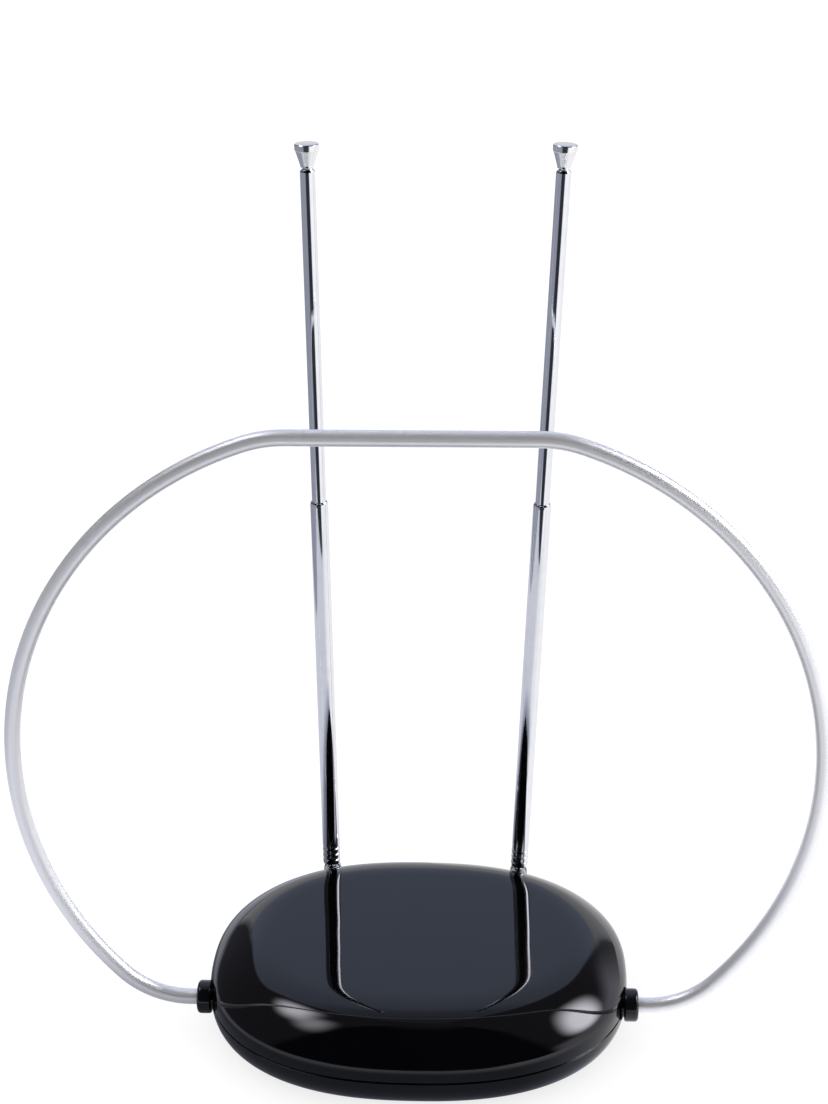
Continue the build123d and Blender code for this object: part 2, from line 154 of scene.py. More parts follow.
def speckled(name, base, rough, metal=0.0, cell=900, amount=0.25, bump=0.15, dist=2e-5, **kw):
    """Moulded, cast or plated surface: colour and roughness vary a little, fine grain in the bump."""
    m = Mat(name, base, rough, metal, **kw)
    v = m.coords()
    n1 = m.noise(v, 160, 3)
    n2 = m.noise(v, cell, 5)
    dark = tuple(c * (1 - amount) for c in base)
    light = tuple(min(1, c * (1 + amount)) for c in base)
    m.to(m.mix(m.remap(n1, 0, 1), dark, light), "Base Color")
    m.to(m.remap(n2, rough * (1 - amount * 0.6), min(1, rough * (1 + amount * 0.6))), "Roughness")
    m.bump(n2, bump, dist)
    return m


# gloss black shell: smooth lacquer-like plastic with a faint skin, dust-fine
# roughness changes and hairlines left by wiping
def piano(name, base=(0.0011, 0.0012, 0.0016), rough=0.035):
    m = Mat(name, base, rough, 0.0, IOR=1.52)
    v = m.coords()
    skin = m.noise(v, 75, 2, 0.4)
    fine = m.noise(v, 2600, 3, 0.6)
    hair_v = m.coords((30, 900, 30))
    hair = m.noise(hair_v, 1.2, 2, 0.6, 0.3)
    worn = m.noise(v, 28, 4, 0.6)
    r = m.remap(worn, rough * 0.75, rough * 1.35)
    h = m.remap(hair, 0.0, 0.018, 0.62, 0.72)
    m.to(m.math("ADD", r, h), "Roughness")
    m.to(m.mix(m.remap(worn, 0, 1), tuple(c * 0.8 for c in base), tuple(c * 1.35 for c in base)), "Base Color")
    wave = m.noise(v, 38, 1, 0.4)
    both = m.math("ADD", wave, m.math("MULTIPLY", m.math("ADD", skin, m.math("MULTIPLY", fine, 0.04)), 0.06))
    m.bump(both, 0.6, 2.2e-4)
    return m


# bright plated tube: mirror-like, drawn along its length, light handling marks
def chrome(name, base=(0.80, 0.81, 0.83), rough=0.06, along=(1, 1, 0.02)):
    m = Mat(name, base, rough, 1.0)
    v = m.coords(along)
    draw = m.noise(v, 1500, 3, 0.6)
    w = m.coords()
    marks = m.noise(w, 240, 4, 0.6)
    m.to(m.math("ADD", m.remap(draw, rough * 0.6, rough * 1.3), m.remap(marks, 0.0, 0.03, 0.55, 0.75)), "Roughness")
    m.to(m.mix(m.remap(marks, 0, 1, 0.4, 0.8), base, tuple(c * 0.93 for c in base)), "Base Color")
    m.bump(draw, 0.03, 1e-5)
    return m


M = {}
M["piano"] = piano("gloss_black_shell")
M["piano_low"] = piano("gloss_black_lower_shell", (0.0012, 0.0013, 0.0016), 0.05)
M["collar"] = piano("black_collar", (0.003, 0.0032, 0.0036), 0.11)
M["chrome"] = chrome("bright_plated_tube")
M["chrome_cap"] = chrome("bright_plated_turned", (0.84, 0.84, 0.835), 0.13, (1, 1, 6))
M["knuckle"] = speckled("plated_knuckle", (0.5, 0.51, 0.53), 0.22, 1.0, 1200, 0.1, 0.1)
M["rubber"] = speckled("foot_rubber", (0.022, 0.022, 0.024), 0.75, 0, 1800, 0.3, 0.4, 4e-5)
M["steel_dark"] = speckled("blackened_screw_steel", (0.09, 0.09, 0.095), 0.35, 1.0, 1500, 0.3, 0.2)
M["steel"] = speckled("zinc_plated_steel", (0.55, 0.56, 0.56), 0.32, 1.0, 500, 0.15, 0.15)
M["nickel"] = speckled("nickel_plated_brass", (0.74, 0.71, 0.65), 0.2, 1.0, 1100, 0.08, 0.08, 1e-5)
M["brass"] = speckled("turned_brass", (0.75, 0.56, 0.27), 0.25, 1.0, 900, 0.12, 0.1, 1e-5)
M["bronze"] = speckled("phosphor_bronze", (0.68, 0.42, 0.24), 0.3, 1.0, 700, 0.15, 0.1, 1e-5)
M["copper"] = speckled("enamelled_copper", (0.55, 0.18, 0.07), 0.25, 1.0, 700, 0.2, 0.1, 1e-5)
M["pe"] = speckled("socket_dielectric", (0.78, 0.76, 0.7), 0.45, 0, 1500, 0.05, 0.1, 1e-5, Subsurface_Weight=0.1)
M["red"] = speckled("lead_insulation_red", (0.42, 0.02, 0.018), 0.45, 0, 900, 0.12, 0.1, 2e-5)
M["black_wire"] = speckled("lead_insulation_black", (0.015, 0.015, 0.016), 0.5, 0, 900, 0.2, 0.1, 2e-5)
M["ferrite"] = speckled("ferrite_core", (0.045, 0.043, 0.042), 0.6, 0, 1600, 0.3, 0.4, 3e-5)
M["tape"] = speckled("foam_tape", (0.72, 0.71, 0.66), 0.85, 0, 1300, 0.08, 0.5, 6e-5)


def laminate():
    m = Mat("circuit_board_laminate", (0.2, 0.11, 0.035), 0.5)
    v = m.coords((1, 1, 1))
    tr = m.node("ShaderNodeTexVoronoi", feature="DISTANCE_TO_EDGE")
    tr.inputs["Scale"].default_value = 180
    m.link(v, tr.inputs["Vector"])
    lines = m.ramp(tr.outputs["Distance"], [(0.06, (0.10, 0.055, 0.02)), (0.12, (0.24, 0.14, 0.05))])
    n = m.noise(v, 700, 4)
    m.to(m.mix(m.remap(n, 0, 0.35), lines, (0.3, 0.19, 0.08)), "Base Color")
    m.bump(tr.outputs["Distance"], 0.3, 5e-5)
    return m


M["board"] = laminate()


def aluminium():
    """Satin drawn aluminium: streaks along the tube (U runs along it), soft oxide mottling, small rub marks."""
    m = Mat("satin_aluminium_tube", (0.9, 0.9, 0.92), 0.4, 0.75)
    v = m.coords((2.5, 40, 1), "UV")
    st = m.noise(v, 1.0, 3, 0.55)
    v2 = m.coords((60, 9, 1), "UV")
    mot = m.noise(v2, 1.0, 4, 0.6)
    v3 = m.coords((260, 260, 260))
    pit = m.noise(v3, 1.0, 2, 0.5)
    m.to(m.math("ADD", m.remap(st, 0.35, 0.42, 0.3, 0.7), m.remap(mot, -0.03, 0.05)), "Roughness")
    tone = m.mix(m.remap(st, 0, 1, 0.3, 0.7), (0.88, 0.885, 0.91), (0.96, 0.96, 0.975))
    m.to(m.mix(m.remap(pit, 0.0, 0.3, 0.66, 0.8), tone, (0.62, 0.63, 0.65)), "Base Color")
    m.bump(m.math("ADD", st, m.math("MULTIPLY", mot, 0.1)), 0.03, 8e-6)
    return m


M["alu"] = aluminium()

# ------------------------------------------------------------------ mesh helpers (mm in, metres out)


def link(name, me, mat, angle=35.0):
    ob = bpy.data.objects.new(name, me)
    bpy.context.scene.collection.objects.link(ob)
    me.materials.clear()
    me.materials.append(mat.m)
    for p in me.polygons:
        p.use_smooth = True
    me.set_sharp_from_angle(angle=radians(angle))
    return ob


def from_data(name, verts, faces, scale=MM):
    me = bpy.data.meshes.new(name)
    me.from_pydata([tuple(c * scale for c in v) for v in verts], [], faces)
    me.validate()
    return me


def rounded(pts, closed=True, n=6):
    """Profile with rounded corners: pts are (r, z, radius)."""
    out, N = [], len(pts)
    for k, p in enumerate(pts):
        rad = p[2] if len(p) > 2 else 0
        if rad <= 0 or (not closed and k in (0, N - 1)):
            out.append((p[0], p[1]))
            continue
        a, b = Vector(pts[k - 1][:2]), Vector(pts[(k + 1) % N][:2])
        c = Vector(p[:2])
        u, v = (a - c), (b - c)
        lu, lv = u.length, v.length
        u, v = u / lu, v / lv
        half = u.angle(v) / 2
        if half < 1e-3 or abs(half - pi / 2) < 1e-3:
            out.append((p[0], p[1]))
            continue
        d = min(rad / math.tan(half), lu * 0.49, lv * 0.49)
        r = d * math.tan(half)
        mid = (u + v).normalized()
        o = c + mid * (r / sin(half))
        p0, p1 = c + u * d, c + v * d
        a0, a1 = atan2(p0.y - o.y, p0.x - o.x), atan2(p1.y - o.y, p1.x - o.x)
        da = (a1 - a0 + pi) % (2 * pi) - pi
        for i in range(n + 1):
            t = a0 + da * i / n
            out.append((o.x + r * cos(t), o.y + r * sin(t)))
    return out


def lathe(profile, seg=72, closed=True):
    """Solid of revolution about Z from (r, z) points, r may be 0."""
    verts, faces = [], []
    ring = []
    for r, z in profile:
        if r < 1e-6:
            ring.append([len(verts)])
            verts.append((0, 0, z))
        else:
            ring.append(list(range(len(verts), len(verts) + seg)))
            verts += [(r * cos(2 * pi * k / seg), r * sin(2 * pi * k / seg), z) for k in range(seg)]
    n = len(ring)
    for k in range(n if closed else n - 1):
        a, b = ring[k], ring[(k + 1) % n]
        if len(a) == 1 and len(b) == 1:
            continue
        for i in range(seg):
            j = (i + 1) % seg
            if len(a) == 1:
                faces.append((a[0], b[j], b[i]))
            elif len(b) == 1:
                faces.append((a[i], a[j], b[0]))
            else:
                faces.append((a[i], a[j], b[j], b[i]))
    return verts, faces


def fix_normals(me):
    bm = bmesh.new()
    bm.from_mesh(me)
    bmesh.ops.remove_doubles(bm, verts=bm.verts, dist=1e-8)
    bmesh.ops.recalc_face_normals(bm, faces=bm.faces)
    bm.to_mesh(me)
    bm.free()
    return me


def turned(name, profile, mat, matrix, seg=72, angle=35.0):
    v, f = lathe(profile, seg)
    me = fix_normals(from_data(name, v, f))
    me.transform(matrix)
    return link(name, me, mat, angle)


def at(x, y, z):
    return Matrix.Translation((x * MM, y * MM, z * MM))


ROT_X = Matrix.Rotation(pi / 2, 4, "Y")  # local Z to +X
ROT_Y = Matrix.Rotation(-pi / 2, 4, "X")  # local Z to +Y


def swap(piece, body, nodes):
    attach(piece, body)
    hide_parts(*nodes)


# ------------------------------------------------------------------ the base's smooth form


def super_plan(n=288):
    """Points and outward normals of the plan, one per step, even along the curve."""
    raw = []
    K = 4000
    for k in range(K):
        t = 2 * pi * k / K
        c, s = cos(t), sin(t)
        x = BA * math.copysign(abs(c) ** (2 / NS), c)
        y = BB * math.copysign(abs(s) ** (2 / NS), s)
        raw.append((x, y))
    acc = [0.0]
    for k in range(K):
        a, b = raw[k], raw[(k + 1) % K]
        acc.append(acc[-1] + hypot(b[0] - a[0], b[1] - a[1]))
    out, k = [], 0
    for i in range(n):
        want = acc[-1] * i / n
        while acc[k + 1] < want:
            k += 1
        f = (want - acc[k]) / max(1e-9, acc[k + 1] - acc[k])
        a, b = raw[k % K], raw[(k + 1) % K]
        x, y = a[0] + (b[0] - a[0]) * f, a[1] + (b[1] - a[1]) * f
        nx = math.copysign(abs(x / BA) ** (NS - 1) / BA, x)
        ny = math.copysign(abs(y / BB) ** (NS - 1) / BB, y)
        l = hypot(nx, ny)
        out.append((x, y, nx / l, ny / l))
    return out


PLAN = super_plan()


def bspline(ctrl, n):
    out, segs = [], len(ctrl) - 3
    for i in range(n + 1):
        u = segs * i / n
        k = min(int(u), segs - 1)
        t = u - k
        b = ((1 - t) ** 3 / 6, (3 * t**3 - 6 * t * t + 4) / 6, (-3 * t**3 + 3 * t * t + 3 * t + 1) / 6, t**3 / 6)
        out.append(tuple(sum(b[j] * ctrl[k + j][d] for j in range(4)) for d in (0, 1)))
    return out


def pebble(profile, close_low, close_top, fill=10):
    """Stack of rings of the plan moved in by profile's inset at its height, both ends closed."""
    verts, faces, rings = [], [], []

    def add(inset, z, k=1.0):
        rings.append(len(verts))
        for x, y, nx, ny in PLAN:
            verts.append(((x - nx * inset) * k, BY + (y - ny * inset) * k, z))

    N = len(PLAN)
    if close_low:
        for i in range(fill, 0, -1):
            add(profile[0][0], profile[0][1], 1 - i / (fill + 0.6))
    for inset, z in profile:
        add(inset, z)
    if close_top:
        for i in range(1, fill + 1):
            add(profile[-1][0], profile[-1][1], 1 - i / (fill + 0.6))
    for a, b in zip(rings, rings[1:]):
        for i in range(N):
            j = (i + 1) % N
            faces.append((a + i, a + j, b + j, b + i))
    faces.append(tuple(range(rings[-1], rings[-1] + N)))
    faces.append(tuple(reversed(range(rings[0], rings[0] + N))))
    return verts, faces


# upper shell, outside: upright at the rim, sloping shoulder, almost flat top
TOP_CTRL = [(0.0, -4.4), (0.0, -0.6), (0.0, 2.2), (0.55, 5.0), (4.2, 8.5), (9.2, 11.7), (14.2, 13.25), (19.5, 13.3), (26.0, 13.3), (33.0, 13.3)]
prof = [(a, ZK + b) for a, b in bspline(TOP_CTRL, 44) if b > 0.35]
TOP_PROF = [(0.22, ZK), (0.06, ZK + 0.09), (0.0, ZK + 0.25)] + prof
IN_TOP = [(WALL, ZK - 1.0), (WALL, ZK + 2.6), (WALL + 0.6, ZK + 4.0), (WALL + 3.4, ZK + 6.6), (WALL + 8.0, ZK + 9.8), (WALL + 11.5, ZK + 11.0), (WALL + 15, ZK + H_TOP - WALL)]
LOW_PROF = [(8.6, Z_BOTTOM), (7.9, Z_BOTTOM + 0.02)]
for k in range(1, 19):
    t = pi / 2 * k / 18
    LOW_PROF.append((7.9 * (1 - sin(t)), Z_BOTTOM + 7.9 * (1 - cos(t))))
LOW_PROF += [(0.0, ZK - 0.75), (0.0, ZK - 0.55), (0.07, ZK - 0.45), (0.2, ZK - 0.4), (0.38, ZK - 0.4), (0.38, ZK)]
IN_LOW = [(WALL + 5.5, Z_BOTTOM + WALL)]
for k in range(1, 9):
    t = pi / 2 * k / 8
    IN_LOW.append((WALL + 5.5 * (1 - sin(t)), Z_BOTTOM + WALL + 5.5 * (1 - cos(t))))
IN_LOW += [(WALL, ZK + 1.0)]


def obj_of(verts, faces, name="tmp"):
    me = bpy.data.meshes.new(name)
    me.from_pydata(verts, [], faces)
    fix = bmesh.new()
    fix.from_mesh(me)
    bmesh.ops.recalc_face_normals(fix, faces=fix.faces)
    fix.to_mesh(me)
    fix.free()
    ob = bpy.data.objects.new(name, me)
    bpy.context.scene.collection.objects.link(ob)
    return ob


def tool_cyl(p, axis, length, r, seg=96):
    """Cylinder in mm from p along axis ('X','Y','Z')."""
    v, f = lathe([(0, 0), (r, 0), (r, length), (0, length)], seg, False)
    R = {"X": ROT_X, "Y": ROT_Y, "Z": Matrix()}[axis]
    v = [tuple((R @ Vector(q)) + Vector(p)) for q in v]
    return obj_of(v, f)


def tool_box(x0, x1, y0, y1, z0, z1):
    x0, x1 = min(x0, x1), max(x0, x1)
    v = [(x, y, z) for x in (x0, x1) for y in (y0, y1) for z in (z0, z1)]
    f = [(0, 1, 3, 2), (4, 6, 7, 5), (0, 4, 5, 1), (2, 3, 7, 6), (0, 2, 6, 4), (1, 5, 7, 3)]
    return obj_of(v, f)


def cut(ob, tool, op="DIFFERENCE"):
    faces = len(ob.data.polygons)
    for solver in ("MANIFOLD", "EXACT"):
        mod = ob.modifiers.new("cut", "BOOLEAN")
        mod.operation, mod.object, mod.solver = op, tool, solver
        dg = bpy.context.evaluated_depsgraph_get()
        me = bpy.data.meshes.new_from_object(ob.evaluated_get(dg))
        ob.modifiers.remove(mod)
        if len(me.polygons) > 0.5 * faces:
            break
    old = ob.data
    ob.data = me
    bpy.data.meshes.remove(old)
    tm = tool.data
    bpy.data.objects.remove(tool)
    bpy.data.meshes.remove(tm)
    return ob


def smooth_like(ob, form, tol=0.015, angle=35.0):
    """Gives the loops that lie on the smooth form its exact normals; the rest keep their own."""
    src = form
    verts = [Vector(v) for v in src[0]]
    faces = [f for f in src[1] if len(f) == 4]
    tree = BVHTree.FromPolygons(verts, faces)
    fn = []
    vn = [Vector((0, 0, 0)) for _ in verts]
    for f in faces:
        a, b, c, d = (verts[i] for i in f)
        n = (c - a).cross(d - b)
        fn.append(n)
        for i in f:
            vn[i] += n
    vn = [n.normalized() if n.length > 0 else Vector((0, 0, 1)) for n in vn]
    me = ob.data
    for p in me.polygons:
        p.use_smooth = True
    me.set_sharp_from_angle(angle=radians(angle))
    own = [Vector(l.vector) for l in me.corner_normals]
    centre = sum(verts, Vector()) / len(verts)
    for p in me.polygons:
        hit = tree.find_nearest(p.center, tol * 3)
        if hit[0] is None:
            continue
        n_form = fn[hit[2]].normalized()
        if n_form.dot(hit[0] - centre) < 0:
            n_form = -n_form
        if abs(p.normal.dot(n_form)) < 0.985:
            continue
        for li in p.loop_indices:
            co = me.vertices[me.loops[li].vertex_index].co
            h = tree.find_nearest(co, tol * 3)
            if h[0] is None:
                continue
            f = faces[h[2]]
            w = [1 / (1e-6 + (verts[i] - co).length) ** 2 for i in f]
            n = sum((vn[i] * q for i, q in zip(f, w)), Vector())
            if n.length > 0:
                n.normalize()
                if n.dot(p.normal) < 0:
                    n = -n
                own[li] = n
    me.normals_split_custom_set([tuple(n) for n in own])


def finish_shell(ob, mat):
    ob.data.materials.clear()
    ob.data.materials.append(mat.m)
    for p in ob.data.polygons:
        p.material_index = 0


def to_metres(ob):
    ob.data.transform(Matrix.Scale(MM, 4))


# -- upper shell
form_top = pebble(TOP_PROF, True, True)
top = obj_of(*form_top, "base_top_shell")
cavity = obj_of(*pebble(IN_TOP, True, True, 3), "cavity")
for s in (-1, 1):
    cut(cavity, tool_box(s * 48.6, s * 60, KY - 7, KY + 7, ZK - 2, ZK + 7))
    cut(cavity, tool_cyl((s * PX, PY, ZK - 0.001), "Z", 14, 6.4, 64))
    cut(cavity, tool_box(s * PX, s * 41, PY - 4.2, PY + 12, ZK + 1.4, ZK + 14))
for x, y in ((38, BY + 22), (-38, BY + 22), (36, BY - 26), (-36, BY - 26)):
    cut(cavity, tool_cyl((x, y, ZK - 0.3), "Z", 14, 3.5, 48))
cut(cavity, tool_box(-11, 11, PAD_Y, PAD_Y + 12, 0, ZK + 14))
cut(top, cavity)
for s in (-1, 1):
    ear = tool_cyl((s * PX, PY, ZK + 0.0005), "Z", BOSS, 6.2, 96)
    cut(top, ear, "UNION")
    cut(top, tool_cyl((s * PX, PY, ZK + BOSS), "Z", 16, 5.2, 96))
    cut(top, tool_box(s * PX - 5.2, s * PX + 5.2, PY, PY + 14, ZK + BOSS, ZK + 16))
    cut(top, tool_box(s * PX, s * 44, PY - 3.0, PY + 14, ZK + 2.9, ZK + 16))
    cut(top, tool_cyl((s * PX, PY, ZK - 2), "Z", 8, 2.55, 64))
    cut(top, tool_cyl((s * 57.9 - 3.95, KY, ZK), "X", 7.9, 4.65, 96))
    cut(top, tool_cyl((s * 50.5 - 4.5, KY, ZK), "X", 9.0, 3.25, 64))
cut(top, tool_cyl((0, PAD_Y - 1, SOCKET_Z), "Y", 12, 4.5, 64))
cut(top, tool_box(-9, 9, SEAT_Y, SEAT_Y + 12, -1, 30))
smooth_like(top, form_top)
to_metres(top)
finish_shell(top, M["piano"])
swap(top, "base", ["top_shell"])

# -- lower shell
form_low = pebble(LOW_PROF, True, True)
low = obj_of(*form_low, "base_bottom_shell")
cavity = obj_of(*pebble(IN_LOW, True, True, 3), "cavity_low")
for s in (-1, 1):
    cut(cavity, tool_box(s * 48.6, s * 60, KY - 7, KY + 7, ZK - 7, ZK + 4))
    cut(cavity, tool_cyl((s * PX, PY, 1), "Z", 12, 6.2, 64))
for x, y in ((38, BY + 22), (-38, BY + 22), (36, BY - 26), (-36, BY - 26)):
    cut(cavity, tool_cyl((x, y, 1), "Z", 8.9, 3.5, 48))
    cut(cavity, tool_cyl((x, y, 1), "Z", 4.4, 4.4, 48))
cut(cavity, tool_box(-11, 11, PAD_Y, PAD_Y + 12, 0, ZK + 14))
cut(low, cavity)
for s in (-1, 1):
    v, f = lathe(rounded([(0, 3.0), (6.2, 3.0, 1.6), (6.2, ZK - 0.0005), (0, ZK - 0.0005)], True, 8), 96, False)
    ear = obj_of([(a + s * PX, b + PY, c) for a, b, c in v], f)
    cut(low, ear, "UNION")
    cut(low, tool_cyl((s * PX, PY, 5.0), "Z", 8, 4.2, 64))
    cut(low, tool_box(s * PX - 3.2, s * PX + 3.2, PY - 9, PY, 6.6, ZK + 1))
    cut(low, tool_cyl((s * 57.9 - 3.95, KY, ZK), "X", 7.9, 4.65, 96))
    cut(low, tool_cyl((s * 50.5 - 4.5, KY, ZK), "X", 9.0, 3.25, 64))
cut(low, tool_cyl((0, PAD_Y - 1, SOCKET_Z), "Y", 12, 4.5, 64))
cut(low, tool_box(-9, 9, SEAT_Y, SEAT_Y + 12, -1, 30))
for x, y in ((38, BY + 22), (-38, BY + 22), (36, BY - 26), (-36, BY - 26)):
    cut(low, tool_cyl((x, y, -1), "Z", 14, 1.6, 48))
    cut(low, tool_cyl((x, y, -1), "Z", 1 + 4.2, 3.0, 64))
for x, y in ((26, BY + 26), (-26, BY + 26), (26, BY - 26), (-26, BY - 26)):
    cut(low, tool_cyl((x, y, -1), "Z", 2.6, 4.6, 64))
smooth_like(low, form_low)
to_metres(low)
finish_shell(low, M["piano_low"])
swap(low, "base", ["bottom_shell"])

# ------------------------------------------------------------------ loop
LS, LT, LF, LH, LM, LZ = 91.0, 32.0, 23.5, 101.1, 69.1, 156.8
xc = LH - LS


def inner_arc(zc, r):
    dz = zc - LM
    dx = sqrt((LS - r) ** 2 - dz * dz)
    return xc + dx, atan2(dz, dx)


xt, a_t = inner_arc(LZ - LT, LT)
xb, a_b = inner_arc(LF, LF)


def half_path():
    """Right half from the inside end to the middle of the top, as (x, z)."""
    pts = [(43.5 + (xb - 43.5) * k / 10, 0.0) for k in range(10)]
    for k in range(26):
        a = -pi / 2 + (a_b + pi / 2) * k / 26
        pts.append((xb + LF * cos(a), LF + LF * sin(a)))
    for k in range(90):
        a = a_b + (a_t - a_b) * k / 90
        pts.append((xc + LS * cos(a), LM + LS * sin(a)))
    for k in range(16):
        a = a_t + (pi / 2 - a_t) * k / 16
        pts.append((xt + LT * cos(a), LZ - LT + LT * sin(a)))
    pts += [(xt * (1 - k / 12), LZ) for k in range(13)]
    return pts


hp = half_path()
path = hp + [(-x, z) for x, z in reversed(hp[:-1])]


def swept(name, path, r, seg=56):
    """Tube along a path in the plane y = KY, with UV: U along in metres, V round."""
    bm = bmesh.new()
    uv = bm.loops.layers.uv.new("UVMap")
    rings, run = [], 0.0
    runs = []
    for k, (x, z) in enumerate(path):
        a = path[max(0, k - 1)]
        b = path[min(len(path) - 1, k + 1)]
        t = Vector((b[0] - a[0], 0, b[1] - a[1])).normalized()
        n = Vector((t.z, 0, -t.x))
        y = Vector((0, 1, 0))
        rings.append([bm.verts.new((Vector((x, KY, ZK + z)) + (n * cos(2 * pi * i / seg) + y * sin(2 * pi * i / seg)) * r) * MM) for i in range(seg)])
        if k:
            run += hypot(x - path[k - 1][0], z - path[k - 1][1]) * MM
        runs.append(run)
    for k in range(len(rings) - 1):
        for i in range(seg):
            j = (i + 1) % seg
            f = bm.faces.new((rings[k][i], rings[k][j], rings[k + 1][j], rings[k + 1][i]))
            for l, (kk, ii) in zip(f.loops, ((k, i), (k, i + 1), (k + 1, i + 1), (k + 1, i))):
                l[uv].uv = (runs[kk] * 10, ii / seg)
    for ring in (rings[0], rings[-1]):
        bm.faces.new(ring)
    bmesh.ops.recalc_face_normals(bm, faces=bm.faces)
    me = bpy.data.meshes.new(name)
    bm.to_mesh(me)
    bm.free()
    return me


loop = link("loop_tube_satin", swept("loop_tube_satin", path, 2.0), M["alu"])
swap(loop, "loop", ["loop_tube"])

for s in (-1, 1):
    prof = rounded(
        [(2.0, 47.0), (4.4, 47.0, 0.2), (4.4, 48.25, 0.2), (3.2, 48.25, 0.1), (3.2, 54.2, 0.2), (4.3, 54.2, 0.7), (4.3, 57.85, 0.95), (2.25, 57.85, 0.25), (2.0, 57.6)], True, 8
    )
    mat = at(0, KY, ZK) @ (ROT_X if s > 0 else ROT_X @ Matrix.Rotation(pi, 4, "Y"))
    c = turned(f"collar_{SIDE[s]}", prof, M["collar"], mat, 96)
    swap(c, "loop", [f"loop_collar_{SIDE[s]}"])

# ------------------------------------------------------------------ dipoles
GROOVE = [q for z in (10.9, 12.75, 14.6) for q in ((2.4, z - 0.42, 0.16), (2.2, z - 0.16, 0.12), (2.2, z + 0.16, 0.12), (2.4, z + 0.42, 0.16))]
for s in (-1, 1):
    side = SIDE[s]
    stand = at(s * PX, PY, PIN_Z) @ Matrix.Rotation(radians(s * LEAN[s]), 4, "Y") @ at(0, 0, -PIN_Z)

    def part(name, pts, node, body, mat=M["chrome"], seg=80):
        pr = rounded([(p[0], ZK + p[1], *p[2:]) for p in pts], True, 7)
        o = turned(f"{name}_{side}", pr, mat, stand, seg)
        swap(o, f"{side}_{body}", [f"{node}_{side}"])
        return o

    part(
        "first_section",
        [(1.45, 8.65), (1.75, 8.65, 0.25), (2.4, 9.35, 0.6)] + GROOVE
        + [(2.4, 119.1, 0.5), (2.3, 119.75, 0.4), (2.08, 120.2, 0.12), (1.95, 120.2), (1.95, 118.9), (2.2, 118.6), (2.2, 15.8), (1.92, 15.5), (1.92, 10.0), (1.45, 9.0)],
        "dipole_section_1", "dipole",
    )
    part(
        "second_section",
        [(1.7, 113.3), (1.9, 113.3), (1.9, 207.8, 0.45), (1.6, 208.3, 0.15), (1.45, 208.3), (1.45, 207.1), (1.7, 206.8)],
        "dipole_section_2", "second_section",
    )
    part(
        "third_section",
        [(1.2, 115.5), (1.4, 115.5), (1.4, 208.2, 0.3), (1.15, 208.7, 0.12), (0.95, 208.7), (0.95, 207.5), (1.2, 207.3)],
        "dipole_section_3", "third_section",
    )
    part(
        "tip",
        [(0, 211.2), (0.9, 211.2), (0.9, 208.85), (1.72, 208.85, 0.1), (1.76, 209.3, 0.15), (2.9, 212.95, 0.1), (3.03, 213.1, 0.08), (3.09, 214.5, 0.12), (2.9, 214.68, 0.2), (0, 214.7)],
        "tip_cap", "tip", M["chrome_cap"],
    )

# ------------------------------------------------------------------ materials on the CAD nodes that stay
STAY = {
    "rubber_feet": "rubber", "case_screws": "steel_dark", "board_screws": "steel", "ballast_plate": "steel", "ballast_tape": "tape",
    "circuit_board": "board", "balun_core": "ferrite", "balun_winding": "copper", "coax_socket_body": "nickel", "coax_socket_nut": "nickel",
    "coax_socket_washer": "nickel", "coax_socket_insulator": "pe", "coax_socket_contact": "bronze",
}
for s in ("left", "right"):
    STAY.update({
        f"loop_contact_{s}": "bronze", f"loop_lead_{s}": "red" if s == "right" else "black_wire", f"dipole_lead_{s}": "red" if s == "right" else "black_wire",
        f"dipole_lug_{s}": "bronze", f"swivel_spring_{s}": "steel", f"swivel_nut_{s}": "steel", f"tilt_pin_{s}": "steel", f"dipole_swivel_{s}": "knuckle",
        f"dipole_end_plug_{s}": "knuckle", f"section_2_bush_{s}": "brass", f"section_3_bush_{s}": "brass", f"rod_bush_{s}": "brass", f"dipole_rod_{s}": "chrome",
    })
for node, mat in STAY.items():
    o = NODES[node]
    if not o.material_slots:
        o.data.materials.append(M[mat].m)
    for sl in o.material_slots:
        sl.material = M[mat].m

# ------------------------------------------------------------------ stage, lights, camera
def stage_mesh(name, verts, faces, m):
    me = bpy.data.meshes.new(name)
    me.from_pydata(verts, [], faces)
    me.materials.append(m)
    ob = bpy.data.objects.new(name, me)
    bpy.context.scene.collection.objects.link(ob)
    return ob


def floor():
    v, f = lathe([(0.5, 0), (1.5, 0), (3.0, 0), (6.0, 0)], 64, False)
    n = len(v)
    v.append((0, 0, 0))
    f += [(i, (i + 1) % 64, n) for i in range(64)]
    m = Mat("studio_floor", (0.3, 0.3, 0.3), 0.9)
    m.to(m.mix(m.remap(m.noise(m.coords(), 9, 3), 0, 1), (0.292, 0.292, 0.292), (0.308, 0.308, 0.308)), "Base Color")
    m.b.inputs["Specular IOR Level"].default_value = 0.0
    m.b.inputs["Emission Color"].default_value = (1, 1, 1, 1)
    m.b.inputs["Emission Strength"].default_value = 0.78
    ob = stage_mesh("studio_floor", v, f, m.m)
    for p in ob.data.polygons:
        if p.normal.z < 0:
            p.flip()


floor()


# The studio as polished surfaces see it, as painted reflections: light walls, two softboxes,
# dark room in front. A sheet over the table and a dome carry the painted reflected brightness
# of each direction; only glossy rays meet them.
def step(x, a, b):
    t = max(0.0, min(1.0, (x - a) / (b - a)))
    return t * t * (3 - 2 * t)


def window(x, lo, hi, soft):
    return step(x, lo - soft, lo + soft) * (1 - step(x, hi - soft, hi + soft))


def blend(c, d, k):
    return tuple(p + (q - p) * k for p, q in zip(c, d))


